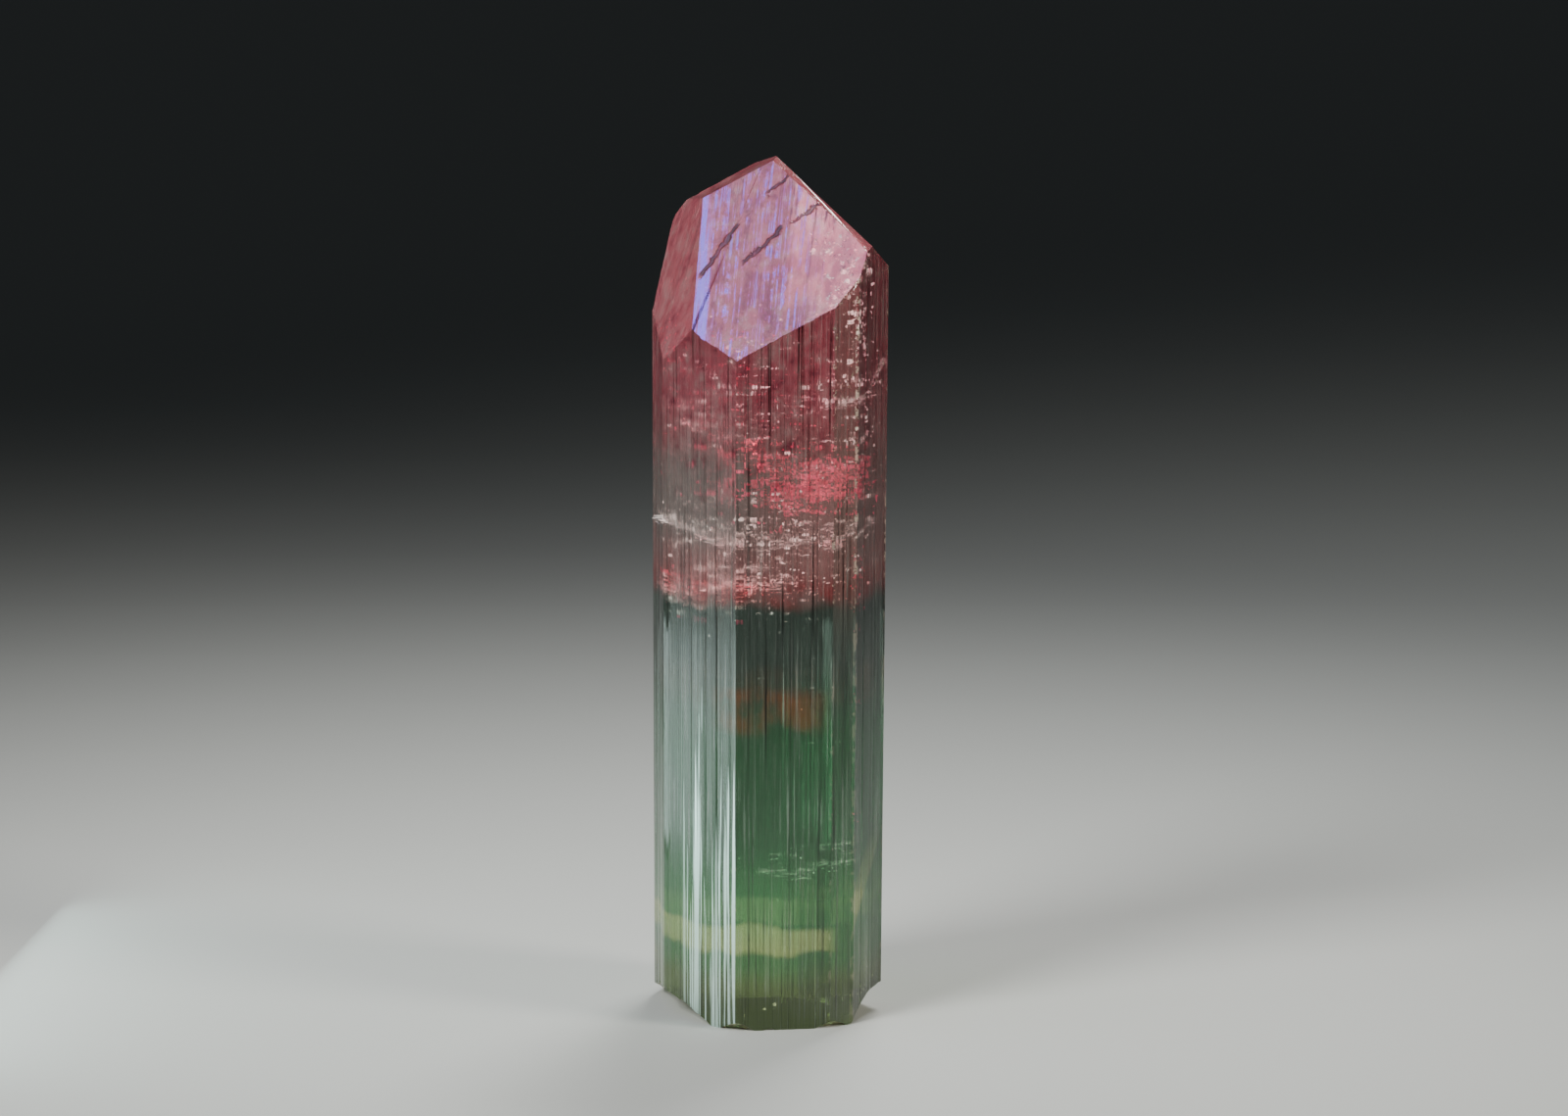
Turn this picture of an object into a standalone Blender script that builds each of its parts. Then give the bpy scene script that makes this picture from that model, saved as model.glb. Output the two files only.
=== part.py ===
# One elbaite tourmaline crystal: a rounded three-sided prism with vertical growth ledges,
# a slanting termination of flat faces, and a broken base that it stands on.
# Metres, Z up. "Front" is -Y, "right" is +X. Angles in plan go from the front to the right.

import math
import random

import bmesh
import bpy
from mathutils import Matrix, Vector, noise

MM = 0.001
SEED = 41

# Size
HEIGHT = 48.0 * MM
BLUNT = 0.84 * MM                # the top is blunted this far below the point of the top faces
BASE_WIDTH = 0.970               # the prism narrows a little towards the base, on its right side
UNCUT_HEIGHT = 50.0 * MM         # height of the prism before the top faces cut it
SAME_PLACE = 1e-8                # points nearer than this count as one

# Prism faces in plan: name, the way each looks in degrees, its width.
# The two without a width get what closes the outline.
TURN = -21.5                     # the way the main top face looks
PRISM = (
    ("left_front_outer", TURN - 39.0, 0.80 * MM),
    ("left_front_middle", TURN - 30.0, 2.84 * MM),
    ("left_front_inner", TURN - 22.0, 2.74 * MM),
    ("front", TURN + 30.0, 5.53 * MM),
    ("front_right_strip", TURN + 60.0, 1.69 * MM),
    ("right", TURN + 90.0, 4.60 * MM),
    ("right_back", TURN + 150.0, None),
    ("back_strip", TURN + 180.0, 2.21 * MM),
    ("back", TURN + 210.0, 4.40 * MM),
    ("left_back", TURN + 270.0, None),
    ("left", TURN + 300.0, 4.70 * MM),
)
LEFT_EDGE = (-5.92 * MM, -1.80 * MM)   # where the left face meets the left front

# Growth ledges along the prism faces
LEDGE_WIDTH = (0.20 * MM, 0.80 * MM)
LEDGE_DEPTH = (0.010 * MM, 0.060 * MM)
LEDGE_RISER = 0.020 * MM
EDGE_MARGIN = 0.14 * MM          # no ledge lies closer than this to a prism edge

# Top faces: slope from the level and the way each looks in degrees, and how far below the
# apex it passes, measured straight down through the apex
AXIS_RATIO = 0.448               # height of the crystal's unit cell over its width
STEEP = math.degrees(math.atan(2.0 * AXIS_RATIO / math.cos(math.radians(30.0))))
GENTLE = math.degrees(math.atan(AXIS_RATIO / math.cos(math.radians(30.0))))
APEX = (0.28 * MM, 4.18 * MM)
TOP_FACES = (
    ("main", STEEP, TURN, 0.0),
    ("right_flank", STEEP, TURN + 120.0, 0.75 * MM),
    ("back_flank", STEEP, TURN - 120.0, -0.47 * MM),
    ("right_ridge", GENTLE, TURN + 60.0, 0.62 * MM),
    ("left_ridge", GENTLE, TURN - 60.0, 0.88 * MM),
    ("back_ridge", GENTLE, TURN + 180.0, 0.81 * MM),
    ("left_shoulder", 67.7, TURN - 49.0, -7.47 * MM),
    ("left_rim", 79.3, TURN - 94.1, -39.99 * MM),
)

# Scoops broken out of the rim of the base: centre and the three radii
BASE_SCOOPS = (
    ((-7.90 * MM, -2.20 * MM, -8.56 * MM), (10.0 * MM, 13.0 * MM, 10.0 * MM)),
    ((8.20 * MM, -1.50 * MM, -6.27 * MM), (8.0 * MM, 8.0 * MM, 8.0 * MM)),
    ((-2.40 * MM, -7.80 * MM, -2.81 * MM), (3.5 * MM, 3.5 * MM, 3.5 * MM)),
    ((4.30 * MM, -7.20 * MM, -2.72 * MM), (3.5 * MM, 3.5 * MM, 3.5 * MM)),
    ((0.10 * MM, -6.95 * MM, -0.35 * MM), (0.85 * MM, 0.85 * MM, 0.70 * MM)),
    ((2.20 * MM, 9.60 * MM, -3.60 * MM), (5.20 * MM, 5.00 * MM, 4.40 * MM)),
)
SCOOP_ROUGHNESS = 0.020          # unevenness of a scoop, as a share of its radius
SCOOP_GRAIN = 2.6                # how many bumps a scoop has over its radius
SCOOP_SPACING = 7.0              # how far apart the scoops read the same noise

# Chips on the long edges: the face that ends at the edge, height, and size
EDGE_CHIPS = (
    ("front", 38.60 * MM, 0.30 * MM),
    ("front", 33.10 * MM, 0.24 * MM),
    ("front", 22.70 * MM, 0.20 * MM),
    ("front_right_strip", 40.60 * MM, 0.42 * MM),
    ("front_right_strip", 37.30 * MM, 0.30 * MM),
    ("front_right_strip", 33.90 * MM, 0.34 * MM),
    ("front_right_strip", 29.40 * MM, 0.24 * MM),
    ("front_right_strip", 21.80 * MM, 0.20 * MM),
    ("front_right_strip", 12.60 * MM, 0.24 * MM),
    ("right", 38.30 * MM, 0.36 * MM),
    ("right", 30.60 * MM, 0.26 * MM),
    ("right", 19.20 * MM, 0.22 * MM),
    ("right", 6.40 * MM, 0.30 * MM),
    ("left_back", 24.40 * MM, 0.26 * MM),
    ("left_back", 15.20 * MM, 0.22 * MM),
)
CHIP_ACROSS = (0.7, 0.8)         # a chip's width and depth over its size
CHIP_TALL = (1.1, 1.9)           # a chip's least and greatest height over its size
CHIP_AXIS = (0.6, 0.5, 0.6)      # the line each chip is turned about

# Etched grooves on the main top face: the two ends in plan, and how deep
ETCH_GROOVES = (
    ((-4.05 * MM, -1.95 * MM), (-1.60 * MM, 0.35 * MM), 0.17 * MM),
    ((-1.75 * MM, -2.05 * MM), (0.90 * MM, -0.85 * MM), 0.14 * MM),
    ((0.90 * MM, -0.85 * MM), (4.20 * MM, -0.10 * MM), 0.10 * MM),
    ((-0.40 * MM, 1.10 * MM), (1.60 * MM, 2.05 * MM), 0.09 * MM),
)
ETCH_PIT = (-1.35 * MM, -1.15 * MM)   # place in plan
PIT_SIZE = (0.34 * MM, 0.44 * MM, 0.30 * MM)   # along, up and into the face
PIT_TURN = 35.0                  # how far the pit is turned on the face, in degrees

# Finish
COLOUR = (0.55, 0.36, 0.36, 1.0)
GLOSS = 0.06                     # roughness of the faces
BENDING = 1.63                   # index of refraction of elbaite
CLEARNESS = 0.9


def heading(degrees):
    """The level direction that looks the given way."""
    angle = math.radians(degrees)
    return Vector((math.sin(angle), -math.cos(angle), 0.0))


def along(degrees):
    """The level direction that runs along a face looking the given way, left to right."""
    angle = math.radians(degrees)
    return Vector((math.cos(angle), math.sin(angle), 0.0))


def closing_widths():
    """Widths of the two prism faces that close the outline."""
    rest = Vector((0.0, 0.0, 0.0))
    open_ways = []
    for _, look, width in PRISM:
        if width is None:
            open_ways.append(along(look))
        else:
            rest -= along(look) * width
    first, second = open_ways
    cross = first.x * second.y - first.y * second.x
    return [
        (rest.x * second.y - rest.y * second.x) / cross,
        (first.x * rest.y - first.y * rest.x) / cross,
    ]


def ledge_points(start, look, width, rng):
    """Points of one prism face in plan, with its shallow growth ledges."""
    inward = -heading(look)
    way = along(look)
    points = [start]
    place = EDGE_MARGIN
    depth = 0.0
    while True:
        step = rng.uniform(*LEDGE_WIDTH)
        if place + LEDGE_RISER + step > width - EDGE_MARGIN:
            break
        points.append(start + way * place + inward * depth)
        depth = rng.uniform(*LEDGE_DEPTH)
        place += LEDGE_RISER
        points.append(start + way * place + inward * depth)
        place += step
    points.append(start + way * place + inward * depth)
    points.append(start + way * (place + LEDGE_RISER))
    return points


def prism_corners():
    """Where each prism face starts in plan, by the name of the face."""
    widths = closing_widths()
    corner = Vector((*LEFT_EDGE, 0.0))
    starts = {}
    for name, look, width in PRISM:
        if width is None:
            width = widths.pop(0)
        starts[name] = (corner, width)
        corner = corner + along(look) * width
    return starts


def prism_outline(rng):
    """The whole outline in plan, anticlockwise from the left edge."""
    starts = prism_corners()
    outline = []
    for name, look, _ in PRISM:
        corner, width = starts[name]
        outline += ledge_points(corner, look, width, rng)
    return outline


def narrowed(x, z, left):
    """The x that a place in plan has at a height, as the prism narrows from its left edge."""
    return left + (x - left) * (BASE_WIDTH + (1.0 - BASE_WIDTH) * z / UNCUT_HEIGHT)


def cut(bm, point, outward):
    """Cuts away what lies outside a plane and closes the crystal with one flat face."""
    everything = bm.verts[:] + bm.edges[:] + bm.faces[:]
    bmesh.ops.bisect_plane(
        bm, geom=everything, dist=SAME_PLACE, plane_co=point, plane_no=outward, clear_outer=True
    )
    rim = [edge for edge in bm.edges if edge.is_boundary]
    if rim:
        bmesh.ops.holes_fill(bm, edges=rim, sides=0)


def crystal_body(rng):
    """The prism with its ledges and its flat top faces."""
    bm = bmesh.new()
    outline = prism_outline(rng)
    left = min(point.x for point in outline)
    ring = [bm.verts.new((narrowed(point.x, 0.0, left), point.y, 0.0)) for point in outline]
    base = bm.faces.new(ring)
    raised = bmesh.ops.extrude_face_region(bm, geom=[base])["geom"]
    for vert in raised:
        if isinstance(vert, bmesh.types.BMVert):
            vert.co.x = left + (vert.co.x - left) / BASE_WIDTH
            vert.co.z = UNCUT_HEIGHT
    bmesh.ops.recalc_face_normals(bm, faces=bm.faces[:])

    apex = Vector((*APEX, HEIGHT + BLUNT))
    for _, slope, look, below in TOP_FACES:
        tilt = math.radians(slope)
        outward = heading(look) * math.sin(tilt) + Vector((0.0, 0.0, math.cos(tilt)))
        cut(bm, apex - Vector((0.0, 0.0, below)), outward)
    cut(bm, Vector((0.0, 0.0, HEIGHT)), Vector((0.0, 0.0, 1.0)))
    bmesh.ops.recalc_face_normals(bm, faces=bm.faces[:])
    return bm


def top_height(x, y):
    """Height of the main top face at a place in plan."""
    tilt = math.radians(STEEP)
    look = heading(TURN)
    run = look.x * (x - APEX[0]) + look.y * (y - APEX[1])
    return HEIGHT + BLUNT - run * math.tan(tilt)


def scoop_cutters(bm):
    """Rounded, slightly uneven bodies that break the rim of the base."""
    for number, (centre, radii) in enumerate(BASE_SCOOPS):
        made = bmesh.ops.create_icosphere(bm, subdivisions=3, radius=1.0)["verts"]
        apart = Vector((number * SCOOP_SPACING, 0.0, 0.0))
        for vert in made:
            size = 1.0 + SCOOP_ROUGHNESS * noise.noise(vert.co * SCOOP_GRAIN + apart)
            vert.co = Vector(
                (
                    centre[0] + vert.co.x * radii[0] * size,
                    centre[1] + vert.co.y * radii[1] * size,
                    centre[2] + vert.co.z * radii[2] * size,
                )
            )


def chip_cutters(bm, rng):
    """Small irregular bodies that chip the long edges."""
    starts = prism_corners()
    left = min(corner.x for corner, _ in starts.values())
    looks = {name: look for name, look, _ in PRISM}
    for face, height, size in EDGE_CHIPS:
        corner, width = starts[face]
        edge = corner + along(looks[face]) * width
        centre = Vector((narrowed(edge.x, height, left), edge.y, height))
        turn = Matrix.Rotation(rng.uniform(0.0, math.tau), 4, Vector(CHIP_AXIS).normalized())
        tall = rng.uniform(*CHIP_TALL)
        stretch = Matrix.Diagonal((size * CHIP_ACROSS[0], size * CHIP_ACROSS[1], size * tall, 1.0))
        place = Matrix.Translation(centre)
        bmesh.ops.create_icosphere(bm, subdivisions=1, radius=1.0, matrix=place @ stretch @ turn)


def etch_cutters(bm):
    """Square bars laid edge down into the main top face, and a block for the pit."""
    tilt = math.radians(STEEP)
    outward = heading(TURN) * math.sin(tilt) + Vector((0.0, 0.0, math.cos(tilt)))
    for start, end, depth in ETCH_GROOVES:
        first = Vector((*start, top_height(*start)))
        last = Vector((*end, top_height(*end)))
        way = (last - first).normalized()
        side = outward.cross(way)
        turn = Matrix((way, side, outward)).transposed().to_4x4()
        place = Matrix.Translation((first + last) / 2.0)
        lean = Matrix.Rotation(math.radians(45.0), 4, "X")
        thick = depth * math.sqrt(2.0)
        bar = Matrix.Diagonal(((last - first).length, thick, thick, 1.0))
        bmesh.ops.create_cube(bm, size=1.0, matrix=place @ turn @ lean @ bar)
    x, y = ETCH_PIT
    way = heading(TURN + 90.0)
    turn = Matrix((way, outward.cross(way), outward)).transposed().to_4x4()
    place = Matrix.Translation(Vector((x, y, top_height(x, y))))
    block = Matrix.Diagonal((*PIT_SIZE, 1.0))
    lean = Matrix.Rotation(math.radians(PIT_TURN), 4, "Z")
    bmesh.ops.create_cube(bm, size=1.0, matrix=place @ turn @ lean @ block)


def glass_material():
    """The clear, two-coloured stone, as one middle colour."""
    material = bpy.data.materials.new("elbaite")
    material.use_nodes = True
    shader = material.node_tree.nodes["Principled BSDF"]
    shader.inputs["Base Color"].default_value = COLOUR
    shader.inputs["Roughness"].default_value = GLOSS
    shader.inputs["IOR"].default_value = BENDING
    shader.inputs["Transmission Weight"].default_value = CLEARNESS
    return material


def put_in(bm, name, collection):
    """Makes a mesh object from the body and links it to the collection."""
    mesh = bpy.data.meshes.new(name)
    bm.to_mesh(mesh)
    bm.free()
    body = bpy.data.objects.new(name, mesh)
    collection.objects.link(body)
    return body


def move_to_origin(body, cutters):
    """Puts the middle of the crystal's bounds over the origin, with the base at zero."""
    xs = [vert.co.x for vert in body.data.vertices]
    ys = [vert.co.y for vert in body.data.vertices]
    shift = Matrix.Translation((-(min(xs) + max(xs)) / 2.0, -(min(ys) + max(ys)) / 2.0, 0.0))
    body.data.transform(shift)
    for cutter in cutters:
        cutter.data.transform(shift)


def build():
    """Builds the crystal and the bodies that break and etch it."""
    for old in list(bpy.data.objects):
        bpy.data.objects.remove(old, do_unlink=True)
    scene = bpy.context.scene
    crystal_parts = bpy.data.collections.new("elbaite tourmaline crystal")
    cutter_parts = bpy.data.collections.new("cutters")
    scene.collection.children.link(crystal_parts)
    scene.collection.children.link(cutter_parts)

    rng = random.Random(SEED)
    crystal = put_in(crystal_body(rng), "crystal", crystal_parts)
    crystal.data.materials.append(glass_material())

    scoops = bmesh.new()
    scoop_cutters(scoops)
    chips = bmesh.new()
    chip_cutters(chips, rng)
    etch = bmesh.new()
    etch_cutters(etch)
    cutters = [
        put_in(scoops, "base_scoops", cutter_parts),
        put_in(chips, "edge_chips", cutter_parts),
        put_in(etch, "etch_marks", cutter_parts),
    ]
    move_to_origin(crystal, cutters)
    for cutter in cutters:
        cutter.hide_render = True
        cutter.display_type = "WIRE"
        boolean = crystal.modifiers.new(cutter.name, "BOOLEAN")
        boolean.operation = "DIFFERENCE"
        boolean.solver = "EXACT"
        boolean.use_self = True
        boolean.object = cutter


build()
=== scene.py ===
"""One bicolour elbaite tourmaline crystal, dressed on its CAD frame."""

import bpy
import numpy as np
from bpy.props import FloatProperty, FloatVectorProperty, IntProperty, PointerProperty
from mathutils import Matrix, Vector


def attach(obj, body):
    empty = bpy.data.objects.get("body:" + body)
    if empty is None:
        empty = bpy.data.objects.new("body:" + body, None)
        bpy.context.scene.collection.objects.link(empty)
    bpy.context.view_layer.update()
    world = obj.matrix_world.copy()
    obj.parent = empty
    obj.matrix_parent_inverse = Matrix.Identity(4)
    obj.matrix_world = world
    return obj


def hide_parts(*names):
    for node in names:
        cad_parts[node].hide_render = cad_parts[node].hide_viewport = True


bl_info = {
    "name": "Elbaite tourmaline crystal",
    "version": (1, 0, 0),
    "blender": (4, 5, 0),
    "location": "View3D > Sidebar > Crystal",
    "description": "Builds a two-coloured tourmaline crystal and a small studio for it",
    "category": "Add Mesh",
}

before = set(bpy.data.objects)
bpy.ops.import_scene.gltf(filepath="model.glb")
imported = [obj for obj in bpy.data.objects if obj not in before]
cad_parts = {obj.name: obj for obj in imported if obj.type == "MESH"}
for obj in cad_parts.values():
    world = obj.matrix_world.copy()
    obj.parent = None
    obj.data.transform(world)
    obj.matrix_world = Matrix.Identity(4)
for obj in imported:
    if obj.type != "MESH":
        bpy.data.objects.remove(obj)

# Lengths without MM are millimetres; plan angles go from the front towards the right
MM = 0.001
HEIGHT = 48.0 * MM
BLUNT = 0.84 * MM
BASE_WIDTH = 0.970
TURN = -21.5

# Prism faces: the way each looks in degrees and its width. The open ones close the outline.
PRISM = (
    (TURN - 39.0, 0.80),
    (TURN - 30.0, 2.84),
    (TURN - 22.0, 2.74),
    (TURN + 30.0, 5.53),
    (TURN + 60.0, 1.69),
    (TURN + 90.0, 4.60),
    (TURN + 150.0, None),
    (TURN + 180.0, 2.21),
    (TURN + 210.0, 4.40),
    (TURN + 270.0, None),
    (TURN + 300.0, 4.70),
)
LEFT_EDGE = (-5.92, -1.80)
FLAT_TILT = 0.45
STEEP = np.degrees(np.arctan(2.0 * 0.448 / np.cos(np.radians(30.0))))
GENTLE = np.degrees(np.arctan(0.448 / np.cos(np.radians(30.0))))
APEX = (0.28, 4.18)

# Top faces: slope and the way each looks in degrees, and how far below the apex it passes
TOP_FACES = (
    (STEEP, TURN, 0.0),
    (STEEP, TURN + 120.0, 0.75),
    (STEEP, TURN - 120.0, -0.47),
    (GENTLE, TURN + 60.0, 0.62),
    (GENTLE, TURN - 60.0, 0.88),
    (GENTLE, TURN + 180.0, 0.81),
    (67.7, TURN - 49.0, -7.47),
    (79.3, TURN - 94.1, -39.99),
)

# Scoops broken out of the base: centre and the three radii
BASE_SCOOPS = (
    ((-7.90, -2.20, -8.56), (10.0, 13.0, 10.0)),
    ((8.20, -1.50, -6.27), (8.0, 8.0, 8.0)),
    ((-2.40, -7.80, -2.81), (3.5, 3.5, 3.5)),
    ((4.30, -7.20, -2.72), (3.5, 3.5, 3.5)),
    ((0.10, -6.95, -0.35), (0.85, 0.85, 0.70)),
    ((2.20, 9.60, -3.60), (5.2, 5.0, 4.4)),
)

# Etched cracks on the main top face: the two ends in plan, and the width
CRACKS = (
    ((-4.05, -1.95), (-1.6, 0.35), 0.20),
    ((-1.75, -2.05), (0.9, -0.85), 0.17),
    ((0.9, -0.85), (4.2, -0.1), 0.12),
    ((-0.4, 1.1), (1.6, 2.05), 0.12),
)

# The middle of the outline's bounds in plan, which is moved over the origin
OUTLINE_MIDDLE = (0.046, 0.302)

UNCUT_HEIGHT = HEIGHT / MM + 2.0
BASE_MIDDLE = (0.0, 0.3)
TIP_OFFSET = (-0.12, 0.10)
RAY_STEPS = 500
NOISE_CELLS = 64
UV_SPAN = 48.0

# The view that columns and rows are read in: the column over x = 0, the row of the base at
# y = 0, millimetres to a pixel, and the cosine and sine of the angle it looks down at
MIDDLE_COLUMN = 786.0
BASE_ROW = 1029.0
MM_PER_PIXEL = 0.0552
VIEW_COS = 0.9877
VIEW_SIN = 0.1564

FLAKE_MARGIN = 0.22
FLAKE_THICKNESS = 0.06
VEIL_THICKNESS = 0.015

# Colours
ROSE = (0.84, 0.22, 0.28, 1.0)
PLUM = (0.36, 0.06, 0.11, 1.0)
RED = (0.72, 0.12, 0.13, 1.0)
PALE_ROSE = (0.95, 0.58, 0.58, 1.0)
DUSTY_ROSE = (0.62, 0.32, 0.31, 1.0)
SMOKE = (0.48, 0.42, 0.39, 1.0)
GREY_GREEN = (0.10, 0.15, 0.12, 1.0)
LEAF = (0.06, 0.30, 0.09, 1.0)
DEEP_GREEN = (0.03, 0.16, 0.055, 1.0)
# painted light: the bright yellow-green of light coming through the base
PAINTED_LIGHT_GREEN = (0.66, 0.85, 0.30, 1.0)
OLIVE = (0.15, 0.25, 0.06, 1.0)
AMBER = (0.45, 0.15, 0.05, 1.0)
# painted sheen: the lilac reflection of the top lamp on the main top face
PAINTED_SHEEN_LILAC = (0.46, 0.32, 1.0, 1.0)
# painted reflection of the left soft box
REFLECTION_SILVER = (0.80, 1.0, 0.96, 1.0)
# painted glints: cream for the glints at the top right and on the chipped edges
GLINT_CREAM = (0.95, 0.80, 0.62, 1.0)
SAND = (0.42, 0.36, 0.20, 1.0)
BEIGE = (0.46, 0.38, 0.32, 1.0)
# painted highlight of the growth lines
RIDGE_HIGHLIGHT = (0.80, 0.92, 0.84, 1.0)
PALE_GLINT = (0.97, 0.90, 0.84, 1.0)
CRIMSON_GLINT = (0.98, 0.10, 0.24, 1.0)
PALE_VEIL = (0.92, 0.82, 0.78, 1.0)
CRIMSON_VEIL = (0.98, 0.16, 0.28, 1.0)
ABSORBED = (0.62, 0.50, 0.50, 1.0)
FLOOR_GREY = (0.52, 0.55, 0.53, 1.0)
SKY_GREY = (0.75, 0.80, 0.85, 1.0)

# Chipped edges with painted cream glints: how far round the outline each lies in millimetres,
# its width, and how much of it is left without glints, from 0 to 1
CHIP_GLINT_EDGES = ((11.91, 0.16, 0.56), (13.60, 0.30, 0.50), (18.20, 0.22, 0.53), (6.38, 0.10, 0.60))

# Where some prism faces start and end round the outline, in millimetres
AROUND = {"left_front": (0.8, 6.38), "strip": (11.91, 13.60), "right": (13.60, 18.20)}

# Healed fractures: column, row and depth of the middle, the two radii, how steeply it falls
# and which way, how wavy it is, and its seed
PALE_SHEETS = (
    ((722, 536, -1.0), (3.6, 4.6), 9.0, 60.0, 0.30, 31),
    ((815, 545, -0.5), (3.4, 4.0), 14.0, -60.0, 0.35, 35),
    ((720, 600, 0.5), (3.0, 3.4), 8.0, 20.0, 0.30, 39),
    ((760, 585, -1.5), (3.6, 3.0), 12.0, -20.0, 0.40, 41),
    ((840, 395, 0.0), (2.8, 3.0), 30.0, -40.0, 0.40, 43),
    ((740, 420, 0.0), (3.2, 3.0), 18.0, 30.0, 0.40, 45),
    ((815, 880, -2.6), (3.2, 2.6), 9.0, -35.0, 0.22, 47),
    ((820, 862, -2.0), (2.6, 2.2), 10.0, -60.0, 0.20, 49),
)
CRIMSON_SHEETS = (
    ((818, 492, -1.6), (2.8, 3.4), 22.0, -30.0, 0.60, 51),
    ((806, 505, -0.4), (2.6, 3.2), 16.0, 10.0, 0.60, 55),
    ((786, 470, -1.2), (2.4, 2.8), 30.0, 70.0, 0.50, 59),
    ((838, 480, -2.2), (2.0, 2.4), 34.0, -10.0, 0.50, 61),
    ((715, 590, -0.5), (2.8, 3.0), 12.0, 40.0, 0.40, 63),
)

# Clusters of glints: column, row and depth of the middle, the spread in x, y and z, how
# many, and their least and greatest radius
PALE_CLUSTERS = (
    ((868, 300, -3.2), (0.45, 0.9, 2.6), 140, (0.06, 0.32)),
    ((845, 262, -1.5), (0.45, 0.5, 0.6), 50, (0.08, 0.34)),
    ((862, 330, -3.6), (0.5, 0.6, 1.6), 70, (0.05, 0.26)),
    ((880, 420, -3.0), (0.3, 1.0, 3.0), 60, (0.04, 0.18)),
    ((780, 540, -2.5), (2.8, 2.0, 1.3), 300, (0.04, 0.26)),
    ((720, 530, -1.5), (1.8, 1.6, 0.8), 130, (0.04, 0.24)),
    ((715, 600, -1.0), (1.8, 2.0, 1.0), 130, (0.04, 0.24)),
    ((790, 590, -2.0), (2.6, 2.0, 1.4), 190, (0.04, 0.24)),
    ((850, 440, -1.5), (1.4, 2.0, 2.8), 150, (0.04, 0.26)),
    ((800, 800, -1.0), (3.0, 3.0, 8.0), 220, (0.02, 0.08)),
    ((815, 872, -3.0), (1.8, 0.8, 0.5), 50, (0.04, 0.14)),
    ((770, 400, -2.0), (2.4, 1.5, 1.8), 130, (0.04, 0.22)),
    ((787, 1030, -5.4), (0.4, 0.2, 0.3), 16, (0.06, 0.20)),
    ((880, 1005, -2.6), (0.4, 0.8, 0.8), 40, (0.05, 0.18)),
)
CRIMSON_CLUSTERS = (
    ((815, 490, -2.0), (2.1, 1.5, 1.0), 480, (0.06, 0.32)),
    ((740, 410, -1.0), (2.2, 2.0, 1.6), 130, (0.05, 0.22)),
    ((870, 590, -3.4), (0.35, 0.6, 1.2), 60, (0.05, 0.18)),
    ((690, 330, -0.5), (0.8, 1.6, 1.6), 60, (0.05, 0.16)),
    ((710, 600, -0.5), (1.6, 1.6, 0.8), 70, (0.05, 0.18)),
    ((870, 716, -3.4), (0.25, 0.4, 0.4), 10, (0.05, 0.16)),
    ((868, 827, -3.4), (0.2, 0.4, 0.3), 6, (0.05, 0.12)),
)

# Soft boxes: name, place, size, power, colour, and how wide the beam opens in degrees
LAMPS = (
    ("left_box", (-0.048, 0.004, 0.0075), (0.044, 0.0140), 0.0062, (0.80, 1.0, 0.96), 180.0),
    ("key_box", (-0.200, -0.200, 0.240), (0.14, 0.14), 0.110, (1.0, 0.98, 0.95), 44.0),
    ("top_box", (-0.110, -0.010, 0.270), (0.10, 0.10), 0.0095, (0.58, 0.56, 1.0), 70.0),
    ("right_box", (0.200, -0.100, 0.110), (0.07, 0.12), 0.045, (1.0, 0.93, 0.85), 50.0),
    ("back_box", (0.060, 0.200, 0.330), (0.12, 0.12), 0.055, (1.0, 0.98, 0.95), 34.0),
)
LAMP_AIM = (0.0, 0.0, 24.0 * MM)
CAMERA_TARGET = (0.77 * MM, 0.0, 25.68 * MM)
FLOOR_REACH = 3.0


def along(look):
    """Level unit vector that runs along a face looking the given way, left to right."""
    angle = np.radians(look)
    return np.array([np.cos(angle), np.sin(angle)])


def heading(look):
    """Level unit vector that looks the given way, from the front towards the right."""
    angle = np.radians(look)
    return np.array([np.sin(angle), -np.cos(angle)])


def face_widths():
    """All prism face widths in millimetres, with the two open ones closing the outline."""
    known = sum(along(look) * width for look, width in PRISM if width is not None)
    ways = np.array([along(look) for look, width in PRISM if width is None]).T
    open_widths = list(np.linalg.solve(ways, -known))
    return [open_widths.pop(0) if width is None else width for _, width in PRISM]


def striated_outline(rng, step):
    """Plan points of the prism in millimetres, with growth ledges.

    Each prism face is walked in flats and short ramps: a flat keeps its depth, and a ramp
    leads to the next flat's depth. Returns points, outward directions, distance round the
    outline, and each point's ledge depth, which is not yet applied.
    """
    corner = np.array(LEFT_EDGE)
    points, outward, depths = [], [], []
    for (look, _), width in zip(PRISM, face_widths()):
        count = int(width / step)
        flats = rng.gamma(1.6, 1.0, count) + 0.25
        ramps = rng.uniform(0.10, 0.35, count)
        walk = np.cumsum(np.column_stack([flats, ramps]).ravel())
        places = 0.03 * width + walk * (0.94 * width / walk[-1])
        levels = rng.beta(1.2, 2.2, 2 * count)
        levels[1::2] = levels[::2] * (1 - FLAT_TILT) + levels[1::2] * FLAT_TILT
        levels[0] = levels[-1] = 0.0
        places = np.concatenate([[0.0], places[:-1]])
        depth = np.concatenate([[0.0], levels[:-1]])
        points.append(corner + places[:, None] * along(look))
        outward.append(np.repeat(heading(look)[None], len(places), 0))
        depths.append(depth)
        corner = corner + along(look) * width
    points = np.concatenate(points)
    gaps = np.linalg.norm(np.diff(points, axis=0, append=points[:1]), axis=1)
    distance = np.concatenate([[0.0], np.cumsum(gaps)[:-1]])
    return points, np.concatenate(outward), distance, np.concatenate(depths)


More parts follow.
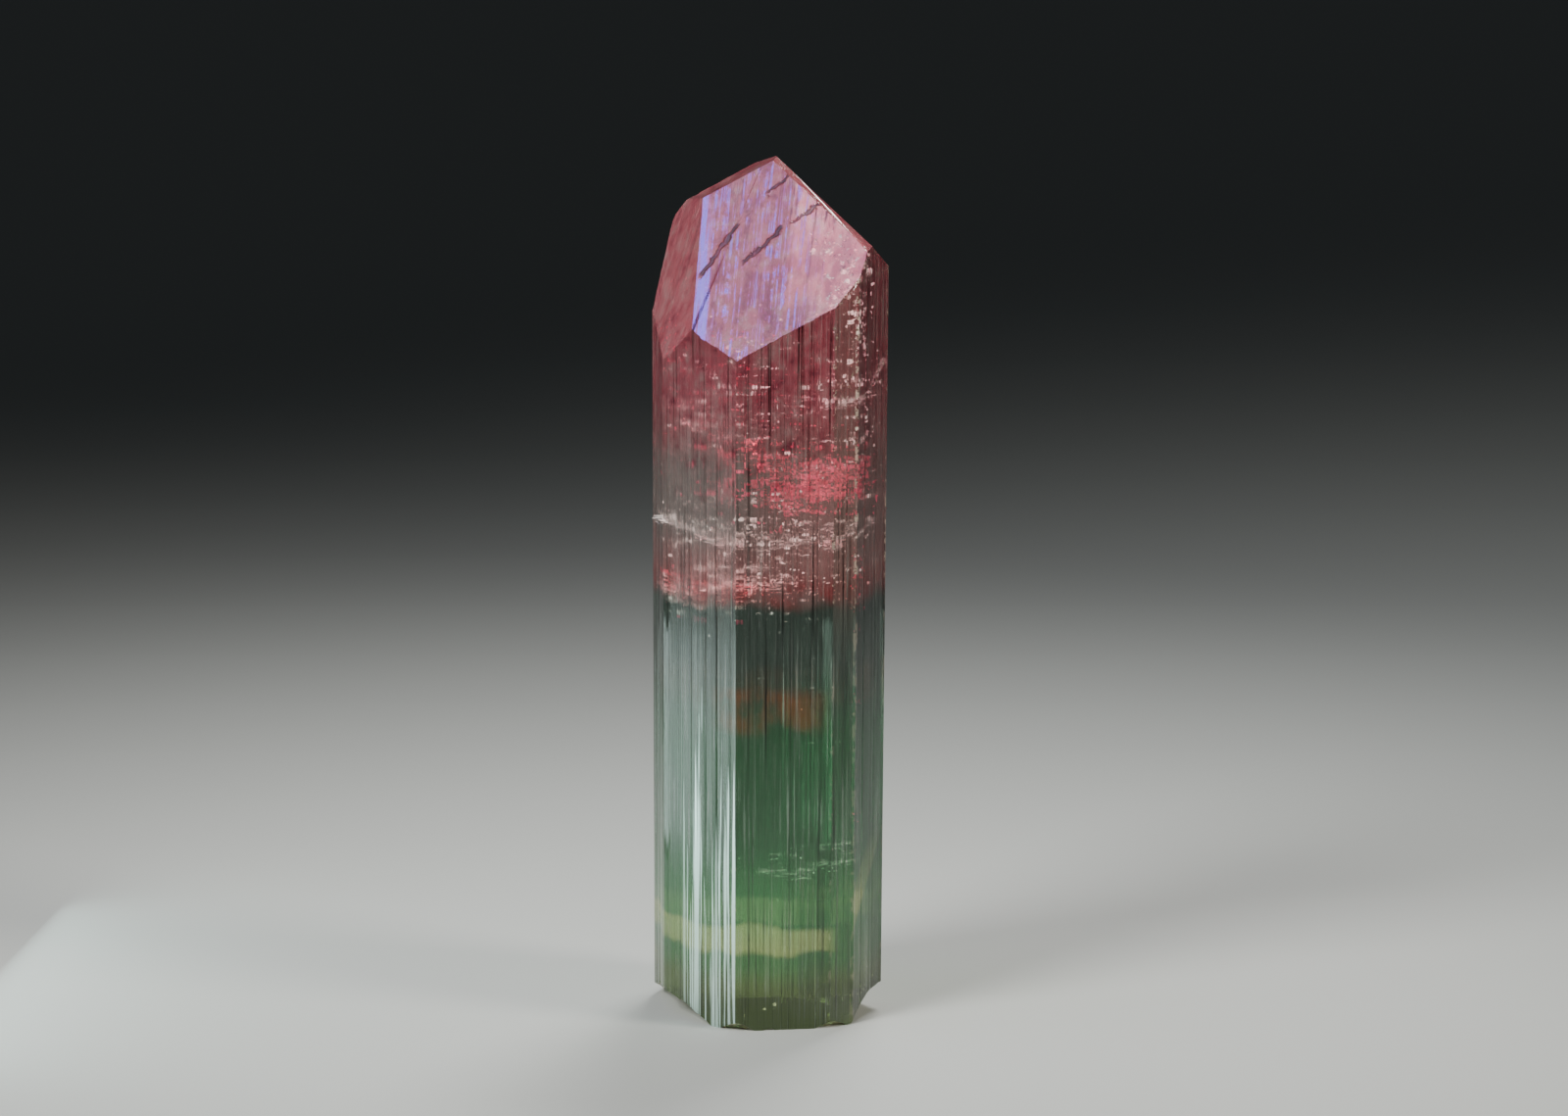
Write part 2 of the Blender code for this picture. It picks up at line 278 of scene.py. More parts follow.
def top_planes():
    """Normals and distances of the top faces, in millimetres, blunt tip last."""
    apex = np.array([*APEX, HEIGHT / MM + BLUNT / MM])
    normals, distances = [], []
    for slope, look, below in TOP_FACES:
        tilt = np.radians(slope)
        normal = np.array([*(heading(look) * np.sin(tilt)), np.cos(tilt)])
        normals.append(normal)
        distances.append(normal @ (apex - [0.0, 0.0, below]))
    normals.append(np.array([0.0, 0.0, 1.0]))
    distances.append(HEIGHT / MM)
    return np.array(normals), np.array(distances)


def smooth_noise(a, b, cell, seed):
    """Value noise between -1 and 1 at places (a, b): random levels on a square grid of the
    given cell size, blended with the smooth curve 3t^2 - 2t^3."""
    levels = np.random.default_rng(seed).uniform(-1.0, 1.0, (NOISE_CELLS, NOISE_CELLS))
    a, b = np.asarray(a) / cell, np.asarray(b) / cell
    i, j = np.floor(a).astype(int), np.floor(b).astype(int)
    s, t = a - i, b - j
    s, t = s * s * (3.0 - 2.0 * s), t * t * (3.0 - 2.0 * t)
    i, j = i % NOISE_CELLS, j % NOISE_CELLS
    next_i, next_j = (i + 1) % NOISE_CELLS, (j + 1) % NOISE_CELLS
    low = levels[i, j] * (1 - s) + levels[next_i, j] * s
    high = levels[i, next_j] * (1 - s) + levels[next_i, next_j] * s
    return low * (1 - t) + high * t


def base_height(x, y):
    """Height of the broken base in millimetres: the highest of the scooped ellipsoids and
    the level it stands on, with fine unevenness inside the scoops."""
    height = np.zeros_like(x)
    for (cx, cy, cz), (rx, ry, rz) in BASE_SCOOPS:
        inside = 1.0 - ((x - cx) / rx) ** 2 - ((y - cy) / ry) ** 2
        scoop = cz + rz * np.sqrt(np.clip(inside, 0.0, None))
        height = np.maximum(height, np.where(inside > 0.0, scoop, 0.0))
    ripples = 0.05 * smooth_noise(x, y, 0.7, 5) + 0.03 * smooth_noise(x, y, 0.3, 6)
    share = np.clip(height / 0.3, 0.0, 1.0)
    return height + share * (ripples + 0.04)


def quads(rows, columns):
    """Faces of a grid of rows by columns that closes on itself round the columns."""
    i = np.arange(rows - 1)[:, None]
    j = np.arange(columns)[None]
    k = (j + 1) % columns
    return np.stack(
        [i * columns + j, i * columns + k, (i + 1) * columns + k, (i + 1) * columns + j], -1
    ).reshape(-1, 4)


def mesh_piece(name, points, faces):
    """A mesh object at the origin from an array of points and one of triangles."""
    mesh = bpy.data.meshes.new(name)
    sides = faces.shape[1]
    mesh.vertices.add(len(points))
    mesh.vertices.foreach_set("co", points.astype(np.float32).ravel())
    mesh.loops.add(faces.size)
    mesh.loops.foreach_set("vertex_index", faces.astype(np.int32).ravel())
    mesh.polygons.add(len(faces))
    mesh.polygons.foreach_set("loop_start", np.arange(0, faces.size, sides, dtype=np.int32))
    mesh.update(calc_edges=True)
    mesh.validate()
    piece = bpy.data.objects.new(name, mesh)
    bpy.context.scene.collection.objects.link(piece)
    return piece


def side_points(outline, outward, distance, depth, rows, ledge_depth, seed):
    """Rows of side points in millimetres, from the broken base up to the top faces.

    P(u, v) = outline(u) drawn in by its ledge depth, at base(u) + (top(u) - base(u)) v.
    Each x is narrowed towards the left edge, by BASE_WIDTH at the foot and less higher up.
    The ledge depth fades up and down the crystal with smooth noise.
    """
    normals, offsets = top_planes()
    left = outline[:, 0].min()
    drawn_in = outline - outward * (depth * ledge_depth)[:, None]
    foot = left + (drawn_in[:, 0] - left) * BASE_WIDTH
    lean = (drawn_in[:, 0] - left) * (1.0 - BASE_WIDTH) / UNCUT_HEIGHT
    meets = offsets[:, None] - normals[:, :1] * foot - normals[:, 1:2] * drawn_in[:, 1]
    top = (meets / (normals[:, 2:] + normals[:, :1] * lean)).min(0)
    bottom = base_height(foot, drawn_in[:, 1])

    v = np.linspace(0.0, 1.0, rows)[:, None]
    z = bottom + (top - bottom) * v
    fade = 0.62 + 0.38 * smooth_noise(distance[None] + 0 * z, z, 6.0, seed + 1)
    fine = 0.10 * smooth_noise(distance[None] * 3.0 + 0 * z, z * 0.06, 0.5, seed + 2)
    drawn = depth[None] * ledge_depth * (fade + fine)
    drawn[0] = drawn[-1] = depth * ledge_depth
    x = left + (outline[None, :, 0] - outward[None, :, 0] * drawn - left) * (
        BASE_WIDTH + (1.0 - BASE_WIDTH) * z / UNCUT_HEIGHT
    )
    y = outline[None, :, 1] - outward[None, :, 1] * drawn
    return np.stack([x, y, z], -1)


def cap_points(rim, tip, top_steps):
    """Rings of points from the rim in to the tip, on the lowest of the top planes.

    Along the ray of each rim point, marks are set where one plane gives way to the next, so
    that a ring of points lies on every ridge. Each stretch between marks has top_steps.
    """
    normals, offsets = top_planes()
    count = len(rim)
    column = np.arange(count)
    t = np.linspace(0.0, 1.0, RAY_STEPS)
    at_rim = (offsets[:, None] - normals[:, :2] @ rim[:, :2].T) / normals[:, 2:]
    at_tip = (offsets - normals[:, :2] @ tip) / normals[:, 2]
    along_ray = at_rim[:, :, None] * (1 - t) + at_tip[:, None, None] * t
    owner = along_ray.argmin(0)
    order = np.cumsum(np.diff(owner, axis=1) != 0, axis=1)
    marks = [np.zeros(count)]
    for number in (1, 2, 3):
        found = (order == number).any(1)
        index = (order == number).argmax(1)
        before = owner[column, index]
        after = owner[column, np.minimum(index + 1, RAY_STEPS - 1)]
        gap_rim = at_rim[before, column] - at_rim[after, column]
        gap_tip = at_tip[before] - at_tip[after]
        with np.errstate(divide="ignore", invalid="ignore"):
            crossing = gap_rim / (gap_rim - gap_tip)
        found = found & np.isfinite(crossing)
        spare = marks[-1] + (1.0 - marks[-1]) / (5.0 - number)
        marks.append(np.where(found, np.clip(crossing, 0.0, 1.0), spare))
    marks.append(np.ones(count))
    marks = np.maximum.accumulate(np.array(marks), axis=0)
    part = (np.arange(top_steps) / top_steps)[None, :, None]
    t = marks[:-1, None] + (marks[1:] - marks[:-1])[:, None] * part
    t = t.reshape(-1, count)[1:]
    place = rim[None, :, :2] * (1 - t[..., None]) + tip * t[..., None]
    level = offsets[:, None, None] - np.einsum("ki,rci->krc", normals[:, :2], place)
    z = (level / normals[:, 2:, None]).min(0)
    return np.concatenate([place, z[..., None]], -1)


def base_points(rim, middle, rings):
    """Rings of points from the lower rim in to the middle of the base, on base_height."""
    s = np.arange(1, rings) / rings
    place = rim[None, :, :2] * (1 - s[:, None, None]) + middle * s[:, None, None]
    z = base_height(place[..., 0], place[..., 1])
    return np.concatenate([place, z[..., None]], -1)


def crystal_surface(rows, top_steps, base_rings, step, ledge_depth, seed):
    """The whole crystal in millimetres: points, quads, end fans, UVs, outline, kinds of face.

    The base rings, the side rows and the top rings make one grid that closes on itself round
    the outline. A fan of triangles closes it at the middle of the base and at the tip.
    """
    rng = np.random.default_rng(seed)
    outline, outward, distance, depth = striated_outline(rng, step)
    normals, offsets = top_planes()
    count = len(outline)
    side = side_points(outline, outward, distance, depth, rows, ledge_depth, seed)
    tip = np.array(APEX) + TIP_OFFSET
    cap = cap_points(side[-1], tip, top_steps)
    middle = np.array(BASE_MIDDLE)
    under = base_points(side[0], middle, base_rings)

    middle_top = np.array([*tip, ((offsets - normals[:, :2] @ tip) / normals[:, 2]).min()])
    middle_base = np.array([*middle, 0.0])
    grid = np.concatenate([under[::-1], side, cap]).reshape(-1, 3)
    points = np.concatenate([grid, [middle_base, middle_top]])
    ring_count = len(grid) // count
    faces = quads(ring_count, count)
    j = np.arange(count)
    k = (j + 1) % count
    bottom_fan = np.stack([k, j, np.full(count, len(grid))], -1)
    last = (ring_count - 1) * count
    top_fan = np.stack([last + j, last + k, np.full(count, len(grid) + 1)], -1)

    around = np.append(np.tile(distance, ring_count), [0.0, 0.0])
    uv = np.column_stack([around / UV_SPAN, points[:, 2] / UV_SPAN])
    ring = np.repeat(np.arange(ring_count - 1), count)
    centres = points[faces].mean(1)
    is_base = ring < base_rings - 1
    above = ring >= base_rings - 1 + rows - 1
    level = offsets[:, None] - normals[:, :2] @ centres[:, :2].T
    plane = (level / normals[:, 2:]).argmin(0)
    kinds = {
        "side": np.append(~is_base & ~above, np.zeros(2 * count)),
        "main_face": np.append(above & (plane == 0), np.zeros(2 * count)),
        "broken": np.append(is_base, np.repeat([1.0, 0.0], count)),
    }
    return points, faces, np.concatenate([bottom_fan, top_fan]), uv, outline, kinds


class Number:
    """A float socket that sums can be written with. Each sum adds one Math node."""

    def __init__(self, nodes, socket):
        self.nodes = nodes
        self.socket = socket

    def math(self, operation, *others):
        node = self.nodes.tree.nodes.new("ShaderNodeMath")
        node.operation = operation
        for place, value in zip(node.inputs, (self, *others)):
            self.nodes.feed(place, value)
        return Number(self.nodes, node.outputs[0])

    def __add__(self, other):
        return self.math("ADD", other)

    def __radd__(self, other):
        return self.math("ADD", other)

    def __sub__(self, other):
        return self.math("SUBTRACT", other)

    def __rsub__(self, other):
        return self.math("MULTIPLY_ADD", -1.0, other)

    def __mul__(self, other):
        return self.math("MULTIPLY", other)

    def __rmul__(self, other):
        return self.math("MULTIPLY", other)

    def size(self):
        """The number without its sign."""
        return self.math("ABSOLUTE")

    def smooth(self, low, high):
        """0 below low, 1 above high and an S-curve between. low may be the larger."""
        if low > high:
            return 1.0 - self.smooth(high, low)
        node = self.nodes.node(
            "MapRange",
            {"interpolation_type": "SMOOTHSTEP"},
            {"Value": self, "From Min": low, "From Max": high},
        )
        return Number(self.nodes, node.outputs["Result"])


class Nodes:
    """The node tree of one new material."""

    def __init__(self, name):
        self.material = bpy.data.materials.new(name)
        self.material.use_nodes = True
        self.tree = self.material.node_tree
        self.shader = self.tree.nodes["Principled BSDF"]
        self.output = self.tree.nodes["Material Output"]

    def feed(self, place, value):
        """Links a socket to a node input, or sets the input to a plain value."""
        if isinstance(value, Number):
            value = value.socket
        if isinstance(value, bpy.types.NodeSocket):
            self.tree.links.new(value, place)
        elif isinstance(value, tuple):
            place.default_value = value[: len(place.default_value)]
        else:
            place.default_value = value

    def node(self, kind, settings, sockets):
        """Adds a node: its settings first, then its sockets, which may be numbers in order."""
        node = self.tree.nodes.new("ShaderNode" + kind)
        for name, value in settings.items():
            setattr(node, name, value)
        for key, value in sockets.items():
            self.feed(node.inputs[key], value)
        return node

    def set(self, **values):
        """Sets or links inputs of the main shader, with _ for a space."""
        for name, value in values.items():
            self.feed(self.shader.inputs[name.replace("_", " ")], value)

    def split(self, socket):
        """The three numbers of a vector socket."""
        node = self.node("SeparateXYZ", {}, {0: socket})
        return [Number(self, output) for output in node.outputs]

    def join(self, x, y, z):
        """A vector socket from three numbers."""
        return self.node("CombineXYZ", {}, {0: x, 1: y, 2: z}).outputs[0]

    def place(self):
        """The object's own x, y and z in millimetres."""
        coordinates = self.node("TexCoord", {}, {}).outputs["Object"]
        return [number * 1000.0 for number in self.split(coordinates)]

    def attribute(self, name):
        """A number kept on the mesh."""
        node = self.node("Attribute", {"attribute_name": name}, {})
        return Number(self, node.outputs["Fac"])

    def noise(self, vector, scale, detail=2.0, roughness=0.5):
        """Noise from 0 to 1, with its middle at 0.5."""
        sockets = {"Vector": vector, "Scale": scale, "Detail": detail, "Roughness": roughness}
        node = self.node("TexNoise", {}, sockets)
        return Number(self, node.outputs["Fac"])

    def mix(self, factor, first, second):
        """A colour between two colours."""
        settings = {"data_type": "RGBA"}
        return self.node("Mix", settings, {0: factor, 6: first, 7: second}).outputs[2]

    def shade(self, colour, amount):
        """A colour times a number."""
        settings = {"operation": "SCALE"}
        return self.node("VectorMath", settings, {0: colour, "Scale": amount}).outputs[0]

    def bump(self, height, distance):
        """A normal from a height between 0 and 1 times a distance in metres."""
        node = self.node("Bump", {}, {"Strength": 1.0, "Distance": distance, "Height": height})
        return node.outputs["Normal"]


def streak(x, y, start, end, width):
    """1 on the line from start to end in plan, falling to 0 at the given width from it."""
    way = np.array(end) - np.array(start)
    length = float(np.linalg.norm(way))
    way = way / length
    run = (x - start[0]) * float(way[0]) + (y - start[1]) * float(way[1])
    off = (x - start[0]) * float(way[1]) - (y - start[1]) * float(way[0])
    ends = run.smooth(0.0, 0.5) * run.smooth(length, length - 0.5)
    return off.size().smooth(width, width * 0.3) * ends


def colour_zones(nodes, settings, place, around, clouds, bands):
    """The stone's colour from the base up: green, grey-green, dusty rose and rose.

    The zones are told apart by height in millimetres, which drifts with slow noise. A bright
    band near the base is painted light, and the darker right face is painted shade.
    """
    x, y, z = place
    coordinates = nodes.join(x, y, z)
    drift = nodes.noise(coordinates, 0.35, 3.0) - 0.5
    level = z + drift * 1.6
    colour = nodes.mix(level.smooth(2.2, 4.0), OLIVE, tuple(settings.leaf_green))
    # painted light: a bright band near the base, and a patch of it on the right face
    band = level.smooth(4.2, 4.6) * level.smooth(6.0, 5.6) * x.smooth(4.0, 2.8)
    slant = z - (around - 14.0) * 1.1
    patch = slant.smooth(5.6, 6.2) * slant.smooth(8.4, 7.6)
    colour = nodes.mix(band + bands["right"] * patch, colour, PAINTED_LIGHT_GREEN)
    colour = nodes.mix(level.smooth(6.4, 11.0), colour, tuple(settings.deep_green))
    amber = level.smooth(16.6, 17.4) * level.smooth(19.6, 18.8) * x.size().smooth(3.6, 2.0)
    colour = nodes.mix(level.smooth(15.5, 21.0), colour, GREY_GREEN)
    colour = nodes.mix(amber * clouds.smooth(0.35, 0.6) * 0.8, colour, AMBER)

    border = z + drift * 2.0
    border_colour = nodes.mix(clouds.smooth(0.35, 0.6), DUSTY_ROSE, RED)
    colour = nodes.mix(border.smooth(23.5, 24.6), colour, border_colour)
    colour = nodes.mix(level.smooth(24.8, 26.2), colour, DUSTY_ROSE)
    left = x.smooth(1.0, -3.0)
    smoke = level.smooth(26.0, 28.5) * level.smooth(35.0, 31.0) * (left * 0.8 + 0.2)
    colour = nodes.mix(smoke, colour, SMOKE)
    colour = nodes.mix(level.smooth(31.0, 36.0), colour, tuple(settings.rose))
    mottle = nodes.noise(coordinates, 1.15, 5.0, 0.68)
    upper = level.smooth(27.0, 33.0)
    colour = nodes.mix(mottle.smooth(0.46, 0.70) * upper * 0.75, colour, PALE_ROSE)
    colour = nodes.mix(mottle.smooth(0.48, 0.30) * upper * 0.80, colour, PLUM)
    colour = nodes.mix(bands["strip"] * z.smooth(21.0, 25.0) * 0.45, colour, BEIGE)
    # painted shade: the right face is darkened by 0.55, as the side turned from the light
    return nodes.shade(colour, 1.0 - 0.55 * bands["right"])


def chip_glint_edges(nodes, place, side, around):
    """1 on the tiny chips along the long edges, where cream glints are painted, thinner towards
    the base.
    """
    chip_noise = nodes.noise(nodes.join(*place), 1.9, 4.0, 0.75)
    chip_glints = 0.0
    for edge, width, bare_share in CHIP_GLINT_EDGES:
        near = (around - edge).size().smooth(width, width * 0.4)
        chip_glints = chip_glints + side * near * chip_noise.smooth(bare_share, bare_share + 0.07)
    return chip_glints * (0.35 + 0.65 * place[2].smooth(18.0, 28.0))


def crystal_material(settings):
    """Clear stone, rose above and green below, with fine growth lines and an etched top."""
    nodes = Nodes("elbaite_glass")
    x, y, z = nodes.place()
    uv = nodes.node("UVMap", {"uv_map": "UVMap"}, {}).outputs["UV"]
    u, v, _ = nodes.split(uv)
    main_face = nodes.attribute("main_face")
    side = nodes.attribute("side")
    broken = nodes.attribute("broken")

    coordinates = nodes.join(x, y, z)
    around = u * UV_SPAN
    bands = {}
    for name, (start, end) in AROUND.items():
        starts = around.smooth(start - 0.06, start + 0.06)
        ends = around.smooth(end + 0.06, end - 0.06)
        bands[name] = side * starts * ends
    clouds = nodes.noise(nodes.join(x, y, z * 0.7), 0.45, 4.0, 0.6)
    colour = colour_zones(nodes, settings, (x, y, z), around, clouds, bands)

    # growth lines on the prism, with painted shade in the grooves and painted highlights on the
    # ridges
    lines = nodes.noise(nodes.join(around, v * 0.6, 0.0), 5.0, 2.0, 0.6)
    hair_lines = nodes.noise(nodes.join(around, v * 0.5, 9.0), 13.0, 1.0, 0.6)
    groove_shade = lines.smooth(0.56, 0.66) * 0.62 + hair_lines.smooth(0.54, 0.62) * 0.33
    colour = nodes.shade(colour, 1.0 - side * groove_shade)
    ridge_highlights = side * hair_lines.smooth(0.42, 0.34) * clouds.smooth(0.35, 0.55)
    colour = nodes.mix(ridge_highlights * 0.40, colour, RIDGE_HIGHLIGHT)

    # painted lilac sheen, painted shade in the cracks, and stains on the main top face
    across = x * 0.995 - y * 0.103
    striae = nodes.noise(nodes.join(across, y * 0.03, 0.0), 5.5, 3.0, 0.7)
    etched = nodes.noise(nodes.join(across, y * 0.55, z * 0.55), 1.6, 4.0, 0.65)
    wander = (nodes.noise(coordinates, 1.4, 3.0) - 0.5) * 0.9
    cracks = 0.0
    for start, end, width in CRACKS:
        cracks = cracks + streak(x, y + wander, start, end, width)
    sheen = striae.smooth(0.46, 0.62) * etched.smooth(0.40, 0.58)
    sheen = sheen + x.smooth(-3.1, -3.7) * striae.smooth(0.3, 0.5)
    sheen = main_face * sheen * x.smooth(3.6, 1.2) * (1.0 - cracks.smooth(0.0, 0.4))
    # painted sheen: lilac mixed into the colour where the metallic striae also reflect the top
    # lamp
    colour = nodes.mix(sheen * 0.85, colour, tuple(settings.lilac))
    # painted shade: the etched cracks are darkened by 0.9
    colour = nodes.shade(colour, 1.0 - 0.90 * main_face * cracks.smooth(0.1, 0.7))
    stains = nodes.noise(nodes.join(across, y * 0.45, z * 0.45), 0.9, 4.0, 0.7)
    stains = main_face * (1.0 - sheen) * stains.smooth(0.52, 0.40)
    colour = nodes.mix(stains * 0.8, colour, PLUM)

    # painted cream glints at the right of the top
    glint_flecks = nodes.noise(coordinates, 2.6, 3.0, 0.7).smooth(0.60, 0.66)
    glint_flecks = glint_flecks * z.smooth(34.0, 37.0) * x.smooth(2.0, 3.4)
    glint_flecks = glint_flecks * (main_face + bands["strip"] + bands["right"] * 0.5)
    colour = nodes.mix(glint_flecks * 0.9, colour, GLINT_CREAM)

    # painted reflection of the left soft box: silvery lines low on the left front, denser
    # towards the base, also metallic
    dense = nodes.noise(nodes.join(around, v * 0.45, 4.0), 2.6, 4.0, 0.78)
    dense = dense + z.smooth(20.0, 5.0) * 0.13
    softbox_reflection = bands["left_front"] * around.smooth(1.6, 2.4)
    softbox_reflection = softbox_reflection * dense.smooth(0.60, 0.66) * z.smooth(23.5, 17.0)
    colour = nodes.mix(softbox_reflection * 0.9, colour, REFLECTION_SILVER)

    # painted glints: cream on the chips along the long edges
    chip_glints = chip_glint_edges(nodes, (x, y, z), side, around)
    colour = nodes.mix(chip_glints * 0.85, colour, GLINT_CREAM)
    colour = nodes.mix(broken * 0.8, colour, SAND)

    dull = sheen * 0.22 + softbox_reflection * 0.33 + glint_flecks * 0.25 + chip_glints * 0.3 + broken * 0.30
    dull = dull + bands["left_front"] * (1.0 - softbox_reflection) * 0.20
    nodes.set(
        Base_Color=colour,
        Metallic=sheen * 0.75 + softbox_reflection * 0.9 + glint_flecks * 0.5 + chip_glints * 0.4 + broken * 0.3,
        Roughness=0.02 + dull + main_face * etched.smooth(0.5, 0.7) * 0.12,
        IOR=1.63,
        Transmission_Weight=0.80,
    )
    fine = nodes.noise(nodes.join(around, v * 1.5, 0.0), 11.0, 2.0, 0.7)
    relief = side * (fine * 0.5 + lines * 0.5)
    relief = relief + main_face * (striae * 0.5 + etched * 0.6 - cracks * 2.5)
    relief = relief + (1.0 - side) * (1.0 - main_face) * etched * 0.6
    nodes.set(Normal=nodes.bump(relief, 0.010 * MM))

    volume = nodes.node("VolumeAbsorption", {}, {"Color": ABSORBED, "Density": 60.0})
    nodes.tree.links.new(volume.outputs[0], nodes.output.inputs["Volume"])
    return nodes.material


def finish_piece(piece, material):
    """Gives a piece its material, and says what it rides on."""
    piece.data.materials.append(material)
    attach(piece, "root")


class CrystalSettings(bpy.types.PropertyGroup):
    """Size of the grid, look of the growth ledges, and the main colours."""

    rows: IntProperty(
        name="Rows", description="Points from base to top", default=150, min=8, max=400
    )
    top_steps: IntProperty(
        name="Top steps", description="Rings in each part of the top", default=14, min=2, max=60
    )
    base_rings: IntProperty(
        name="Base rings", description="Rings over the base", default=14, min=3, max=60
    )
    ledge_step: FloatProperty(
        name="Ledge step",
        description="Mean width of a ledge, in millimetres",
        default=0.21,
        min=0.05,
    )
    ledge_depth: FloatProperty(
        name="Ledge depth", description="Deepest ledge, in millimetres", default=0.085, min=0.0
    )
    seed: IntProperty(name="Seed", description="Seed of the ledges", default=7)
    rose: FloatVectorProperty(
        name="Rose", description="Colour of the top of the stone", default=ROSE, size=4,
        subtype="COLOR",
    )
    leaf_green: FloatVectorProperty(
        name="Leaf green", description="Colour near the base", default=LEAF, size=4,
        subtype="COLOR",
    )
    deep_green: FloatVectorProperty(
        name="Deep green", description="Colour of the lower half", default=DEEP_GREEN, size=4,
        subtype="COLOR",
    )
    lilac: FloatVectorProperty(
        name="Lilac", description="Sheen of the main top face", default=PAINTED_SHEEN_LILAC, size=4,
        subtype="COLOR",
    )


class StudioSettings(bpy.types.PropertyGroup):
    """The camera and the even light."""

    elevation: FloatProperty(
        name="Elevation",
        description="How far the camera looks down",
        default=np.radians(9.0),
        subtype="ANGLE",
    )
    distance: FloatProperty(
        name="Distance",
        description="From the camera to its target",
        default=0.331,
        unit="LENGTH",
    )
    lens: FloatProperty(
        name="Lens", description="Focal length in millimetres", default=135.0, min=1.0
    )
    surround: FloatProperty(
        name="Surround", description="Strength of the even light", default=0.035, min=0.0
    )


class CRYSTAL_OT_add_crystal(bpy.types.Operator):
    """Build the striated prism with its flat-faced top and broken base"""

    bl_idname = "crystal.add_crystal"
    bl_label = "Add the crystal"

    def execute(self, context):
        settings = context.scene.crystal_settings
        points, faces, fans, uv, outline, kinds = crystal_surface(
            settings.rows,
            settings.top_steps,
            settings.base_rings,
            settings.ledge_step,
            settings.ledge_depth,
            settings.seed,
        )
        points[:, :2] -= (outline.min(0) + outline.max(0)) / 2.0
        mesh = bpy.data.meshes.new("crystal_glass")
        mesh.from_pydata((points * MM).tolist(), [], faces.tolist() + fans.tolist())
        layer = mesh.uv_layers.new(name="UVMap")
        index = np.empty(len(mesh.loops), dtype=np.int32)
        mesh.loops.foreach_get("vertex_index", index)
        layer.data.foreach_set("uv", uv[index].astype(np.float32).ravel())
        for name, values in kinds.items():
            kept = mesh.attributes.new(name, "FLOAT", "FACE")
            kept.data.foreach_set("value", values.astype(np.float32))
        piece = bpy.data.objects.new("crystal_glass", mesh)
        context.scene.collection.objects.link(piece)
        finish_piece(piece, crystal_material(settings))
        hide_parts("crystal")
        return {"FINISHED"}


def add_lamp(name, place, aim, size, power, colour, spread):
    """A soft box at a place, turned towards its aim, whose beam opens by the spread."""
    light = bpy.data.lights.new(name, "AREA")
    light.shape = "RECTANGLE"
    light.size, light.size_y = size
    light.energy = power
    light.color = colour
    light.spread = np.radians(spread)
    lamp = bpy.data.objects.new(name, light)
    lamp.location = place
    lamp.rotation_euler = (Vector(aim) - Vector(place)).to_track_quat("-Z", "Y").to_euler()
    bpy.context.scene.collection.objects.link(lamp)


def floor_material():
    """Plain pale matt floor."""
    nodes = Nodes("studio_floor")
    nodes.set(Base_Color=FLOOR_GREY, Roughness=0.85)
    return nodes.material


def inner_planes():
    """Inward normals and distances of every face, in millimetres, to keep pieces inside."""
    normals, offsets = top_planes()
    corner = np.array(LEFT_EDGE)
    sides, reach = [], []
    for (look, _), width in zip(PRISM, face_widths()):
        sides.append([*heading(look), 0.0])
        reach.append(heading(look) @ corner)
        corner = corner + along(look) * width
    normals = np.concatenate([normals, sides, [[0.0, 0.0, -1.0]]])
    return normals, np.concatenate([offsets, reach, [-0.8]])


def inside(points, margin):
    """True for points that lie at least the margin inside every face."""
    normals, offsets = inner_planes()
    narrow = points.copy()
    left = LEFT_EDGE[0]
    width = BASE_WIDTH + (1 - BASE_WIDTH) * points[:, 2] / UNCUT_HEIGHT
    narrow[:, 0] = left + (points[:, 0] - left) / width
    return (narrow @ normals.T < offsets - margin).all(1)


def photo_point(column, row, depth):
    """The place in millimetres that shows at a column and row, this far behind the middle."""
    x = (column - MIDDLE_COLUMN) * MM_PER_PIXEL
    z = ((BASE_ROW - row) * MM_PER_PIXEL - depth * VIEW_SIN) / VIEW_COS
    return np.array([x, depth, z])


